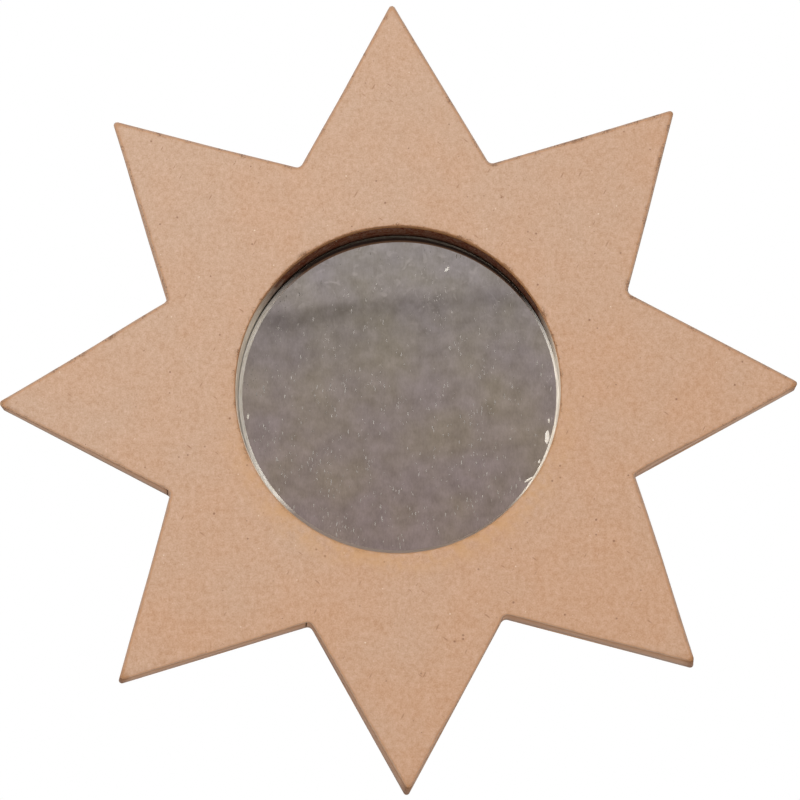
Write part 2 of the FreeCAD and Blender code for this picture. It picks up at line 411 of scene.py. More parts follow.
def kraft_face():
    """Bare paper with the stain, the fray, the hem and the torn fibres of its cuts."""
    material, tree = empty_material("kraft_paper_cover")
    place = add(tree, COORDS).outputs["Object"]
    spot = add(tree, SPLIT, {0: place}).outputs
    # painted shade: the face turns darker and more orange towards the lower right, away from the key light
    slant = add(tree, "MULTIPLY_ADD", (spot["X"], -0.7, spot["Z"]))
    painted_falloff = add(tree, RANGE, (slant, 130 * MM, -130 * MM, -0.3, 0.3))
    colour, mottle, tooth = bare_kraft(tree, "#CAAA93", "#CCA488", 0.0, painted_falloff)
    rim_gap, edge_gap, edge_side = [add(tree, "ShaderNodeAttribute", attribute_name=name).outputs["Fac"]
                                    for name in ("rim_gap", "edge_gap", "edge_side")]
    # glue has stained it in patches, below the hole
    low = add(tree, RANGE, (spot["Z"], 10 * MM, -40 * MM))
    near = add(tree, RANGE, (rim_gap, GLUE_REACH, 0.0, 0.0, 0.8))
    patch = add(tree, RANGE, (mottle, 0.38, 0.6))
    stain = add(tree, "MULTIPLY", (near, patch))
    stain = add(tree, "MULTIPLY", (stain, low))
    # the rim is frayed: a brown line of uneven breadth, faint below
    fray = add(tree, "MULTIPLY_ADD", (mottle, 3.2 * MM, -1.7 * MM))
    fray = add(tree, "MULTIPLY_ADD", (tooth, 1.6 * MM, fray))
    fray = add(tree, "MAXIMUM", (fray, 0.3 * MM))
    core = add(tree, "MULTIPLY", (fray, 0.3))
    strength = add(tree, "MULTIPLY_ADD", (low, -0.6, 0.8))
    frayed = add(tree, RANGE, (rim_gap, fray, core, 0.0, strength))
    # the edge is worn to a greyish hem, narrower where it looks down, with an orange line along it
    breadth = add(tree, RANGE, (edge_side, 0.2, 0.8, 1.0, 0.6))
    gap = add(tree, "DIVIDE", (edge_gap, breadth))
    gap = add(tree, "MULTIPLY_ADD", (mottle, -1.2 * MM, gap))
    gap = add(tree, "MULTIPLY_ADD", (tooth, -0.8 * MM, gap))
    line = add(tree, RANGE, (gap, 0.15 * MM, -0.25 * MM, 0.0, 0.55))
    hem = add(tree, RANGE, (gap, -0.25 * MM, -0.55 * MM, 0.0, 0.7))
    radius = add(tree, VECTOR, {0: place}, operation="LENGTH").outputs["Value"]
    tip = add(tree, RANGE, (radius, TIP_RADIUS - 5 * MM, TIP_RADIUS - RUBBED, 0.0, 0.8))
    rubbed = add(tree, "MULTIPLY", (tip, patch))
    # torn fibres stand dark along both cuts, in bunches
    cut = add(tree, "MINIMUM", (rim_gap, edge_gap))
    close = add(tree, RANGE, (cut, TORN_REACH, TORN_FULL, 0.0, strength))
    bunch = add(tree, "ADD", (mottle, tooth))
    bunch = add(tree, RANGE, (bunch, 1.07, 1.17))
    torn = add(tree, "MULTIPLY", (bunch, close))
    for share, shade in ((stain, "#CDA073"), (frayed, "#A4744C"), (line, "#BC8659"),
                         (hem, "#AC9484"), (rubbed, "#A8764A"), (torn, "#7C5C46")):
        colour = add(tree, MIX, {0: share, 6: colour, 7: linear(shade)}, data_type="RGBA")
    return matt_paper(material, tree, colour, mottle, tooth)


face_paper = kraft_face()
print("face:", face_paper.name)


# %% Kraft of the strips
def kraft_strips():
    """Card that is browner below, rubbed at the fold, darkened with painted shade along its back edge at the
    wall, and dark at the tips.
    """
    material, tree = empty_material("kraft_card_strip")
    colour, mottle, tooth = bare_kraft(tree, "#D1AE98", "#D1AA8F", 0.9)
    place = add(tree, COORDS).outputs["Object"]
    spot = add(tree, SPLIT, {0: place}).outputs
    # darker and browner towards the bottom
    browner_below = add(tree, RANGE, (spot["Z"], -30 * MM, -90 * MM, 0.0, 0.32))
    ragged = add(tree, "MULTIPLY_ADD", (mottle, 4.0 * MM, spot["Y"]))
    fold = add(tree, RANGE, (ragged, 6.0 * MM - strip_high, 2.5 * MM - strip_high, 0.0, 0.6))
    # painted shade: the back edge of the strip, by the wall, is darkened grey-brown
    painted_back_shade = add(tree, RANGE, (ragged, -3.5 * MM, 1.2 * MM, 0.0, 0.7))
    radius = add(tree, VECTOR, {0: place}, operation="LENGTH").outputs["Value"]
    tip = add(tree, RANGE, (radius, TIP_RADIUS - 4 * MM, TIP_RADIUS - RUBBED, 0.0, 0.6))
    for share, shade in ((browner_below, "#AE7F5E"), (fold, "#B7814F"), (painted_back_shade, "#938682"), (tip, "#7E5438")):
        colour = add(tree, MIX, {0: share, 6: colour, 7: linear(shade)}, data_type="RGBA")
    return matt_paper(material, tree, colour, mottle, tooth)


strip_card = kraft_strips()
print("strips:", strip_card.name)


# %% Kraft of the lining, with painted light and shade
def lining_with_painted_light_and_shade():
    """Paper darkened to deep brown as painted shade, and pale lower down on both sides of the hole as painted
    light.
    """
    material, tree = empty_material("kraft_paper_lining_painted_light_and_shade")
    # painted shade: the kraft is darkened to the deep brown of the shaded top of the well
    colour, mottle, tooth = bare_kraft(tree, "#5E3824", "#643E29", 1.3)
    spot = add(tree, SPLIT, {0: add(tree, COORDS).outputs["Object"]}).outputs
    height = add(tree, "MULTIPLY_ADD", (mottle, 12 * MM, spot["Z"]))
    # painted light: the pale side starts higher on the left than on the right
    height = add(tree, "MULTIPLY_ADD", (spot["X"], 0.14, height))
    pale = add(tree, RANGE, (height, 37 * MM, 21 * MM))
    # its folded edge under the face is rubbed brown, less so at both sides, under the painted light
    ragged = add(tree, "MULTIPLY_ADD", (mottle, 1.6 * MM, spot["Y"]))
    side = add(tree, RANGE, (spot["Z"], -38 * MM, -25 * MM))
    side = add(tree, "MULTIPLY", (side, pale))
    brown = add(tree, "MULTIPLY_ADD", (side, -0.6, 0.85))
    fold = add(tree, RANGE, (ragged, 2.0 * MM - strip_high, 0.9 * MM - strip_high, 0.0, brown))
    for share, shade in ((pale, "#F4E8D8"), (fold, "#A8784E")):
        colour = add(tree, MIX, {0: share, 6: colour, 7: linear(shade)}, data_type="RGBA")
    return matt_paper(material, tree, colour, mottle, tooth)


painted_lining = lining_with_painted_light_and_shade()
print("lining:", painted_lining.name)


# %% Liner of the back and grey board
def kraft_back():
    """Plain liner, a shade darker than the face and without wear."""
    material, tree = empty_material("kraft_paper_liner")
    return matt_paper(material, tree, *bare_kraft(tree, "#C4A084", "#C69C7C", 0.4))


def grey_board():
    """Pressed waste paper: dull grey, with flecks of every colour that went into it."""
    material, tree = empty_material("pressed_grey_board")
    return matt_paper(material, tree, *bare_kraft(tree, "#A39A8D", "#ADA292", 2.1))


back_liner, board = kraft_back(), grey_board()
print("inside and behind:", back_liner.name, board.name)

# %% [markdown]
# The real sun was cut and glued by eye, so its rays don't stand quite evenly, the face sits a
# little lower and further right than the back, and the hole is taller than it is wide. The
# drawn shapes below all follow the even rule. One function then turns each ray a little about
# the middle and slips face and back apart, fading to nothing at the ring. Another stretches
# what borders the hole. Every card piece goes through them, so that sheets, boards and strips
# still meet.

# %% Cut by eye
# degrees that each tip, and the notch after it, stands off, clockwise from the top
TIP_TURN = (0.15, 0.25, 0.5, -0.4, 0.0, -0.25, -0.6, 0.0)
NOTCH_TURN = (0.4, 0.6, -1.0, -1.0, -0.7, -0.7, 0.2, 0.1)
FACE_SLIP = (0.5 * MM, -0.45 * MM)      # across and up
BACK_SLIP = (-0.28 * MM, 1.05 * MM)
TURN_RUN = 22 * MM          # the turn grows to its full size over this distance from the ring
SLIP_RUN = 45 * MM          # and the slip over this one
TIP_RUN = 30 * MM           # towards a tip, what would lengthen or shorten it fades again
OVAL = (0.45 * MM, 0.87 * MM)           # the hole is narrower and taller by this on each side
OVAL_RUN = 20 * MM
tip_reach = cad_box[1].x
HAIR = 0.01 * MM            # the tips stay this much inside the box of the solids
turns = [turn for pair in zip(TIP_TURN, NOTCH_TURN) for turn in pair]


def oval(mesh):
    """Make the hole taller than it is wide, fading out over the face."""
    for vertex in mesh.vertices:
        radius = math.hypot(vertex.co.x, vertex.co.z)
        near = min(1.0, max(0.0, 1 - (radius - hole_radius) / OVAL_RUN))
        vertex.co.x *= 1 - near * OVAL[0] / hole_radius
        vertex.co.z *= 1 + near * OVAL[1] / hole_radius
    mesh.update()
    return mesh


def by_eye(mesh):
    """Turn each ray about the middle and slip face and back apart, as on the real sun."""
    for vertex in mesh.vertices:
        x, depth, z = vertex.co.x, -vertex.co.y, vertex.co.z
        radius = max(math.hypot(x, z), MM)
        corner = math.atan2(x, z) / half_ray % len(turns)
        before = math.floor(corner)
        share = corner - before
        share = share * share * (3 - 2 * share)
        turn = turns[before % len(turns)] * (1 - share) + turns[(before + 1) % len(turns)] * share
        angle = math.radians(turn) * min(1.0, max(0.0, (radius - ring_outer) / TURN_RUN))
        grown = min(1.0, max(0.0, (radius - ring_outer) / SLIP_RUN))
        slip = [grown * (b + (f - b) * depth / body_depth) for f, b in zip(FACE_SLIP, BACK_SLIP)]
        outward = (slip[0] * x + slip[1] * z) / radius + HAIR
        outward *= max(0.0, 1 - max(0.0, tip_reach - radius) / TIP_RUN)
        vertex.co.x = x * math.cos(angle) + z * math.sin(angle) + slip[0] - outward * x / radius
        vertex.co.z = z * math.cos(angle) - x * math.sin(angle) + slip[1] - outward * z / radius
    mesh.update()
    return mesh


print("tips and notches turned by", turns, "degrees")

# %% [markdown]
# The face is the main piece: one sheet in the shape of the sun with a round hole. It could
# be a filled curve, but that gives long thin triangles. Here Geometry Nodes sample the
# rounded star curve and draw a web from the rim of the hole out to the outline. A few rows at
# each border turn over in a small quarter round, and a second web of one row closes the sheet
# from below. The tree also stores how far each point is from the edge and from the rim, for
# the wear.

# %% Geometry trees
def tree_with(name, sockets):
    """A geometry tree with named inputs. Returns the tree, its inputs and their identifiers."""
    tree = bpy.data.node_groups.new(name, "GeometryNodeTree")
    tree.interface.new_socket("Geometry", in_out="INPUT", socket_type="NodeSocketGeometry")
    tree.interface.new_socket("Geometry", in_out="OUTPUT", socket_type="NodeSocketGeometry")
    identifiers = {}
    for label, kind in sockets:
        socket = tree.interface.new_socket(label, in_out="INPUT", socket_type="NodeSocket" + kind)
        identifiers[label] = socket.identifier
    return tree, tree.nodes.new("NodeGroupInput").outputs, identifiers


def finished(tree, geometry, material):
    """Every tree ends with real geometry in its material."""
    real = add(tree, "GeometryNodeRealizeInstances", {"Geometry": geometry})
    dressed = add(tree, "GeometryNodeSetMaterial", {"Geometry": real, "Material": material})
    add(tree, "NodeGroupOutput", {0: dressed})


def baked(name, tree, identifiers, values):
    """Run a geometry tree once and return the result as a plain mesh."""
    carrier = bpy.data.objects.new(name, bpy.data.meshes.new(name))
    scene.collection.objects.link(carrier)
    modifier = carrier.modifiers.new("shape", "NODES")
    modifier.node_group = tree
    for label, value in values.items():
        modifier[identifiers[label]] = value
    bpy.context.view_layer.update()
    evaluated = carrier.evaluated_get(bpy.context.evaluated_depsgraph_get())
    mesh = bpy.data.meshes.new_from_object(evaluated)
    mesh.name = name
    carrier.modifiers.remove(modifier)
    bpy.data.objects.remove(carrier)
    return mesh


SUN_SOCKETS = (("Rays", "Int"), ("Tip Radius", "Float"), ("Notch Radius", "Float"),
               ("Tip Round", "Float"), ("Notch Round", "Float"))
sun_sizes = {"Rays": RAYS, "Tip Radius": TIP_RADIUS, "Notch Radius": NOTCH_RADIUS,
             "Tip Round": TIP_ROUND, "Notch Round": NOTCH_ROUND}


def sun_outline(tree, given):
    star = add(tree, "GeometryNodeCurveStar", {"Points": given["Rays"], "Inner Radius": given["Notch Radius"],
               "Outer Radius": given["Tip Radius"], "Twist": 0.0}).outputs
    rounding = add(tree, "GeometryNodeSwitch", {"Switch": star["Outer Points"],
                   "False": given["Notch Round"], "True": given["Tip Round"]}, input_type="FLOAT")
    return add(tree, "GeometryNodeFilletCurve", {"Curve": star["Curve"], "Count": 6, "Radius": rounding},
               mode="POLY")


# %% The sun's face
WEB_AROUND = 1201
WEB_ACROSS = 28
FOLD = 0.25 * MM            # rounding of the paper where it turns over
FOLD_ROWS = 4
FACE_WELD = 0.002 * MM      # points closer than this are joined


def sun_sheet_tree(material):
    tree, given, identifiers = tree_with("sun_sheet", SUN_SOCKETS + (
        ("Hole Radius", "Float"), ("Face Depth", "Float"), ("Sheet", "Float"), ("Fold", "Float"),
        ("Around", "Int"), ("Across", "Int")))
    outline = sun_outline(tree, given)
    front, under = [add(tree, "GeometryNodeMeshGrid", {"Size X": 1.0, "Size Y": 1.0, "Vertices X": rows,
                        "Vertices Y": given["Around"]}) for rows in (given["Across"], 2)]
    web = add(tree, "GeometryNodeJoinGeometry", {0: add(tree, "GeometryNodeFlipFaces", {"Mesh": under})})
    tree.links.new(front.outputs["Mesh"], web.inputs[0])
    cell = add(tree, SPLIT, {0: add(tree, "GeometryNodeInputPosition")}).outputs
    along = add(tree, "ADD", (cell["Y"], 0.5))
    sample = add(tree, "GeometryNodeSampleCurve", {"Curves": outline, "Factor": along},
                 mode="FACTOR", use_all_curves=True).outputs
    edge = sample["Position"]
    edge_side = add(tree, SPLIT, {0: sample["Tangent"]}).outputs["X"]
    outward = add(tree, VECTOR, {0: edge}, operation="NORMALIZE")
    # rows are counted from the rim and from the edge, and the first few of both are the fold
    last = add(tree, "SUBTRACT", (given["Across"], 1.0))
    place = add(tree, "ADD", (cell["X"], 0.5))
    row = add(tree, "MULTIPLY", (place, last))
    back_row = add(tree, "SUBTRACT", (last, row))
    insets, rises = [], []
    for count in (row, back_row):
        turned = add(tree, "SUBTRACT", (count, 1.0))
        turned = add(tree, RANGE, (turned, 0.0, FOLD_ROWS, 0.0, math.pi / 2))
        cosine = add(tree, "COSINE", (turned,))
        short = add(tree, "SUBTRACT", (1.0, cosine))
        insets.append(add(tree, "MULTIPLY", (short, given["Fold"])))
        rises.append(add(tree, "SINE", (turned,)))
    rise = add(tree, "MULTIPLY", (rises[0], rises[1]))
    drop = add(tree, "SUBTRACT", (1.0, rise))
    drop = add(tree, "MULTIPLY", (drop, given["Fold"]))
    nearest = add(tree, "MINIMUM", (row, back_row))
    at_border = add(tree, "LESS_THAN", (nearest, 0.5))
    drop = add(tree, MIX, {0: at_border, 2: drop, 3: given["Sheet"]}, data_type="FLOAT")
    towards = add(tree, "SUBTRACT", (drop, given["Face Depth"]))
    hole = add(tree, "ADD", (given["Hole Radius"], insets[0]))
    inner = add(tree, VECTOR, {0: outward, "Scale": hole}, operation="SCALE")
    step = add(tree, VECTOR, {0: outward, "Scale": insets[1]}, operation="SCALE")
    outer = add(tree, VECTOR, (edge, step), operation="SUBTRACT")
    flat_rows = add(tree, "SUBTRACT", (last, FOLD_ROWS + 1.0))
    share = add(tree, RANGE, (row, FOLD_ROWS + 1.0, flat_rows))
    spot = add(tree, MIX, {0: share, 4: inner, 5: outer}, data_type="VECTOR")
    line = add(tree, "GeometryNodeCurveToMesh", {"Curve": outline})
    edge_gap = add(tree, "GeometryNodeProximity", {"Geometry": line, "Sample Position": spot},
                   target_element="EDGES").outputs["Distance"]
    radius = add(tree, VECTOR, {0: spot}, operation="LENGTH").outputs["Value"]
    rim_gap = add(tree, "SUBTRACT", (radius, given["Hole Radius"]))
    marked = web
    for name, value in (("edge_gap", edge_gap), ("edge_side", edge_side), ("rim_gap", rim_gap)):
        marked = add(tree, "GeometryNodeStoreNamedAttribute",
                     {"Geometry": marked, "Name": name, "Value": value})
    flat = add(tree, SPLIT, {0: spot}).outputs
    upright = add(tree, JOIN, {"X": flat["X"], "Y": towards, "Z": flat["Y"]})
    placed = add(tree, "GeometryNodeSetPosition", {"Geometry": marked, "Position": upright})
    closed = add(tree, "GeometryNodeMergeByDistance", {"Geometry": placed, "Distance": FACE_WELD})
    finished(tree, closed, material)
    return tree, identifiers


face_taper = 1 - lean_per_metre * body_depth
face_tree, face_inputs = sun_sheet_tree(face_paper)
face_mesh = baked("sun_face", face_tree, face_inputs, {
    **sun_sizes, "Tip Radius": TIP_RADIUS * face_taper, "Notch Radius": NOTCH_RADIUS * face_taper,
    "Hole Radius": hole_radius, "Face Depth": body_depth, "Sheet": PAPER,
    "Fold": FOLD, "Around": WEB_AROUND, "Across": WEB_ACROSS})
new_piece("sun_face", by_eye(oval(face_mesh)), "star", ["front_paper"])

# %% [markdown]
# The edge is closed by eight strips of card. Each one runs from notch to notch, folded over
# the tip between. A strip follows a path, so Geometry Nodes trim one ray from the same star
# curve, sweep a rectangle with softened corners along it, lean it in towards the face, and
# then set eight copies round the middle. The lining of the well is swept in the same way, on
# a circle: a thin paper that hides the card ring and the cut edge of the board behind.

# %% Sweeping card
STRIP_CARD = 0.8 * MM       # thin enough to fold over the tip without crossing itself
STRIP_SEAM = 0.4 * MM
STRIP_STEPS = 240
LINING = 0.25 * MM
LINING_STEPS = 256
CARD_SOFT = 0.08 * MM       # rounding of a card's corners


def swept_card(tree, path, card, low, high):
    """Sweep a card section along a flat path, on the path's inner side, between two depths."""
    height = add(tree, "SUBTRACT", (high, low))
    middle = add(tree, "ADD", (high, low))
    middle = add(tree, "MULTIPLY", (middle, -0.5))
    aside = add(tree, "MULTIPLY", (card, -0.5))
    section = add(tree, "GeometryNodeCurvePrimitiveQuadrilateral", {"Width": card, "Height": height})
    soft = add(tree, "GeometryNodeFilletCurve", {"Curve": section, "Count": 2, "Radius": CARD_SOFT},
               mode="POLY")
    shift = add(tree, JOIN, {"X": aside, "Y": middle})
    soft = add(tree, "GeometryNodeTransform", {"Geometry": soft, "Translation": shift})
    level = add(tree, "GeometryNodeSetCurveNormal", {"Curve": path}, mode="Z_UP")
    return add(tree, "GeometryNodeCurveToMesh", {"Curve": level, "Profile Curve": soft, "Fill Caps": True})


def upright_tree(tree, mesh, lean):
    """Lean the flat-lying mesh in with its height, and stand it up with the face towards -Y."""
    spot = add(tree, SPLIT, {0: add(tree, "GeometryNodeInputPosition")}).outputs
    taper = add(tree, "MULTIPLY", (spot["Z"], lean))
    taper = add(tree, "SUBTRACT", (1.0, taper))
    across = add(tree, "MULTIPLY", (spot["X"], taper))
    up = add(tree, "MULTIPLY", (spot["Y"], taper))
    towards = add(tree, "MULTIPLY", (spot["Z"], -1.0))
    stood = add(tree, JOIN, {"X": across, "Y": towards, "Z": up})
    return add(tree, "GeometryNodeSetPosition", {"Geometry": mesh, "Position": stood})


print(f"strips of {STRIP_CARD / MM} mm, lining of {LINING / MM} mm")


# %% Edge strips
def edge_strip_tree(material):
    tree, given, identifiers = tree_with("edge_strips", SUN_SOCKETS + (
        ("Card", "Float"), ("Low", "Float"), ("High", "Float"), ("Seam", "Float"), ("Lean", "Float"),
        ("Steps", "Int")))
    outline = sun_outline(tree, given)
    length = add(tree, "GeometryNodeCurveLength", {"Curve": outline})
    gap = add(tree, "DIVIDE", (given["Seam"], length))
    notch = add(tree, "DIVIDE", (0.5, given["Rays"]))
    start = add(tree, "MULTIPLY_ADD", (gap, 0.5, notch))
    end = add(tree, "MULTIPLY", (notch, 3.0))
    end = add(tree, "MULTIPLY_ADD", (gap, -0.5, end))
    ray = add(tree, "GeometryNodeTrimCurve", {"Curve": outline, "Start": start, "End": end}, mode="FACTOR")
    ray = add(tree, "GeometryNodeResampleCurve", {"Curve": ray, "Count": given["Steps"]}, mode="COUNT")
    strip = swept_card(tree, ray, given["Card"], given["Low"], given["High"])
    strip = upright_tree(tree, strip, given["Lean"])
    turn = add(tree, "DIVIDE", (2 * math.pi, given["Rays"]))
    turn = add(tree, "MULTIPLY", (add(tree, "GeometryNodeInputIndex"), turn))
    facing = add(tree, TURN, {"Axis": (0.0, 1.0, 0.0), "Angle": turn})
    middle = add(tree, "GeometryNodePoints", {"Count": given["Rays"]})
    around = add(tree, "GeometryNodeInstanceOnPoints",
                 {"Points": middle, "Instance": strip, "Rotation": facing})
    finished(tree, around, material)
    return tree, identifiers


strip_tree, strip_inputs = edge_strip_tree(strip_card)
strip_mesh = baked("edge_strips", strip_tree, strip_inputs, {
    **sun_sizes, "Card": STRIP_CARD, "Low": strip_low, "High": strip_high, "Seam": STRIP_SEAM,
    "Lean": lean_per_metre, "Steps": STRIP_STEPS})
reach = max(math.hypot(v.co.x, v.co.z) for v in strip_mesh.vertices)
strip_nodes = [f"ray_strip_{i + 1}" for i in range(RAYS)]
new_piece("edge_strips", by_eye(strip_mesh), "star", strip_nodes)
print(f"strips reach {reach / MM:.2f} mm")


# %% Lining of the well
def lining_tree(material):
    tree, given, identifiers = tree_with("well_lining", (
        ("Radius", "Float"), ("Card", "Float"), ("Low", "Float"), ("High", "Float"), ("Around", "Int")))
    circle = add(tree, "GeometryNodeCurvePrimitiveCircle", {"Resolution": given["Around"],
                 "Radius": given["Radius"]}, mode="RADIUS")
    band = swept_card(tree, circle, given["Card"], given["Low"], given["High"])
    finished(tree, upright_tree(tree, band, 0.0), material)
    return tree, identifiers


ring_tree, ring_inputs = lining_tree(painted_lining)
ring_mesh = baked("well_lining", ring_tree, ring_inputs, {
    "Radius": hole_radius, "Card": LINING, "Low": well_floor, "High": strip_high,
    "Around": LINING_STEPS})
new_piece("well_lining", oval(ring_mesh), "star")
inner = min(math.hypot(v.co.x, v.co.z) for v in ring_mesh.vertices)
print(f"lining is open to {inner / MM:.2f} mm")

# %% [markdown]
# The boards, the card ring and the back sheet keep the shape of their solids, but they have to
# follow the rays and the hole that were cut by eye. Each is a copy of the solid's mesh. Such a
# mesh is loose triangles, so it is merged first, and the long edges are divided so that they
# can bend. Card is flat, so it is shaded flat: smooth shading would dent it at the notches.

# %% Boards, card ring and back sheet
COPY_WELD = 0.001 * MM      # points closer than this are joined
LONG_EDGE = 8 * MM          # a longer edge is divided
SHARP_EDGE = 0.5            # if it turns by more than this, in radians
EDGE_CUTS = 7


def cut_copy(node, material, holed=False):
    """A copy of a solid, bent to the rays, and to the hole where it borders that."""
    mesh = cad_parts[node].data.copy()
    form = bmesh.new()
    form.from_mesh(mesh)
    bmesh.ops.remove_doubles(form, verts=form.verts, dist=COPY_WELD)
    sharp = [e for e in form.edges if e.calc_length() > LONG_EDGE and e.calc_face_angle(0.0) > SHARP_EDGE]
    bmesh.ops.subdivide_edges(form, edges=sharp, cuts=EDGE_CUTS)
    bmesh.ops.triangulate(form, faces=form.faces)
    form.to_mesh(mesh)
    form.free()
    mesh.materials.clear()
    mesh.materials.append(material)
    if holed:
        oval(mesh)
    new_piece(node + "_cut", by_eye(mesh), "star", [node], flat=True)


cut_copy("front_board", board, holed=True)
cut_copy("well_ring", strip_card, holed=True)
cut_copy("back_board", board)
cut_copy("back_paper", back_liner)

# %% [markdown]
# The mirror is a disc of float glass, silvered, with a ground edge that catches the light as
# a pale streaky ring. A lathe is the natural tool for both: a section is turned round the
# middle. The silver is a smooth metal under a film of smears and fine dust.

# %% Mirror disc
GROUND = 1.1 * MM           # breadth of the ground edge
ARRIS = 0.25 * MM           # its drop
GRIND_SLIP = (0.3 * MM, -0.3 * MM)      # across and up: ground broader at the upper left
LATHE_STEPS = 256
SMEAR = 5 * MM              # breadth of the smears, of the chalky clouds and of the fine grit
CHALK = 3.5 * MM
GRIT = 0.55 * MM
silver_radius = mirror_radius - GROUND


def outward_mesh(name, form, material):
    """Turn a form's faces outwards and make it a mesh in its material."""
    bmesh.ops.recalc_face_normals(form, faces=form.faces)
    mesh = bpy.data.meshes.new(name)
    form.to_mesh(mesh)
    form.free()
    mesh.materials.append(material)
    return mesh


def lathe(name, section, material):
    """Turn a closed section of radius and depth pairs. A radius of zero becomes a pole."""
    form = bmesh.new()
    rings = []
    for radius, depth in section:
        if radius == 0:
            rings.append([form.verts.new((0, -depth, 0))] * LATHE_STEPS)
            continue
        angles = [2 * math.pi * i / LATHE_STEPS for i in range(LATHE_STEPS)]
        rings.append([form.verts.new((radius * math.sin(a), -depth, radius * math.cos(a))) for a in angles])
    for ring, following in zip(rings, rings[1:] + rings[:1]):
        for i in range(LATHE_STEPS):
            j = (i + 1) % LATHE_STEPS
            corners = list(dict.fromkeys((ring[i], ring[j], following[j], following[i])))
            if len(corners) > 2:
                form.faces.new(corners)
    return outward_mesh(name, form, material)


def silver():
    """Silver behind glass: pale metal, under a film of smears and of fine dust wiped up and down."""
    material, tree = empty_material("silvered_float_glass")
    place = add(tree, COORDS).outputs["Object"]
    smear = add(tree, NOISE, {"Vector": place, "Scale": 1 / SMEAR, "Detail": 3.0, "Roughness": 0.6})
    rough = add(tree, RANGE, (smear, 0.35, 0.75, 0.01, 0.035))
    tint = add(tree, RAMP, {"Fac": smear}, ((0.25, "#D0CFCA"), (0.5, "#E2E2E0"), (0.75, "#F4F4F6")))
    spot = add(tree, SPLIT, {0: place}).outputs
    high = add(tree, RANGE, (spot["Z"], 0.0, 40 * MM))
    chalk = add(tree, NOISE, {"Vector": place, "Scale": 1 / CHALK, "Detail": 4.0, "Distortion": 1.2})
    chalk = add(tree, RANGE, (chalk, 0.58, 0.74))
    chalk = add(tree, "MULTIPLY", (chalk, high))
    tint = add(tree, MIX, {0: chalk, 6: tint, 7: linear("#FFFFFF")}, data_type="RGBA")
    wiped = add(tree, MAPPING, {"Vector": place, "Scale": (1.0, 1.0, 0.4)})
    grit = add(tree, NOISE, {"Vector": wiped, "Scale": 1 / GRIT, "Detail": 2.0, "Roughness": 0.7})
    tint = add(tree, MIX, {0: 0.13, 6: tint, 7: grit}, data_type="RGBA", blend_type="LINEAR_LIGHT")
    return coated(material, tree, {"Base Color": tint, "Metallic": 1.0, "Roughness": rough})


def slipped(mesh):
    """Move the silver disc, or the inner border of the ground ring, off the middle."""
    for vertex in mesh.vertices:
        if math.hypot(vertex.co.x, vertex.co.z) < silver_radius + HAIR:
            vertex.co.x += GRIND_SLIP[0]
            vertex.co.z += GRIND_SLIP[1]
    return mesh


silver_mesh = lathe("mirror_silver", ((0, mirror_back), (silver_radius, mirror_back),
                    (silver_radius, mirror_front), (0, mirror_front)), silver())
new_piece("mirror_silver", slipped(silver_mesh), "star", ["mirror_glass"])

# %% [markdown]
# The ground edge is a piece of its own, because matt white glass and bright silver are two
# materials. It was ground by hand, so it is broader at the upper left. Shade is painted into
# it: dark at the top with a painted brown reflection of the wall, grey lower down, and a dark
# line in the gap on the left.

# %% Ground edge
STREAK = (6 * MM, 0.4 * MM)             # length round the edge, and breadth


def ground_glass():
    """Ground on a wheel: matt, whitish, with streaks that run round the edge, and painted shade at the top,
    lower down and in the gap on the left.
    """
    material, tree = empty_material("ground_glass_edge")
    place = add(tree, COORDS).outputs["Object"]
    spot = add(tree, SPLIT, {0: place}).outputs
    angle = add(tree, "ARCTAN2", (spot["X"], spot["Z"]))
    run = add(tree, "MULTIPLY", (angle, mirror_radius / STREAK[0]))
    flat = add(tree, JOIN, {"X": spot["X"], "Y": spot["Z"]})
    radius = add(tree, VECTOR, {0: flat}, operation="LENGTH").outputs["Value"]
    step = add(tree, "DIVIDE", (radius, STREAK[1]))
    streak_place = add(tree, JOIN, {"X": run, "Y": step})
    streaks = add(tree, NOISE, {"Vector": streak_place, "Scale": 1.0, "Detail": 2.0})
    tint = add(tree, RAMP, {"Fac": streaks}, ((0.35, "#E2DDD4"), (0.55, "#FEFCF8")))
    # painted shade: lower down the edge is darkened to grey, as if unlit
    low = add(tree, RANGE, (spot["Z"], -31 * MM, -37 * MM))
    tint = add(tree, MIX, {0: low, 6: tint, 7: linear("#938781")}, data_type="RGBA")
    # painted shade and painted reflection: at the top the edge is dark at its rim and brown inwards, like the
    # shaded wall and its image
    slant = add(tree, "MULTIPLY_ADD", (spot["X"], 0.14, spot["Z"]))
    high = add(tree, RANGE, (slant, 22 * MM, 36 * MM))
    inwards = add(tree, RANGE, (radius, mirror_radius, silver_radius))
    stain = add(tree, RAMP, {"Fac": inwards}, ((0.6, "#2C1E17"), (1.0, "#86654E")))
    tint = add(tree, MIX, {0: high, 6: tint, 7: stain}, data_type="RGBA")
    # painted shade: a dark line in the gap between the glass and the wall, on the left
    gap = add(tree, RANGE, (radius, mirror_radius - 0.4 * MM, mirror_radius - 0.2 * MM))
    left = add(tree, RANGE, (spot["X"], -20 * MM, -40 * MM, 0.0, 0.6))
    upper = add(tree, RANGE, (spot["Z"], -25 * MM, -8 * MM))
    painted_gap_shade = add(tree, "MULTIPLY", (gap, left))
    painted_gap_shade = add(tree, "MULTIPLY", (painted_gap_shade, upper))
    tint = add(tree, MIX, {0: painted_gap_shade, 6: tint, 7: linear("#4A4038")}, data_type="RGBA")
    return coated(material, tree, {"Base Color": tint, "Roughness": 0.55, "IOR": 1.52})


edge_mesh = lathe("mirror_edge", ((silver_radius, mirror_back), (mirror_radius, mirror_back),
                  (mirror_radius, mirror_front - ARRIS), (silver_radius, mirror_front)), ground_glass())
new_piece("mirror_edge", slipped(edge_mesh), "star")

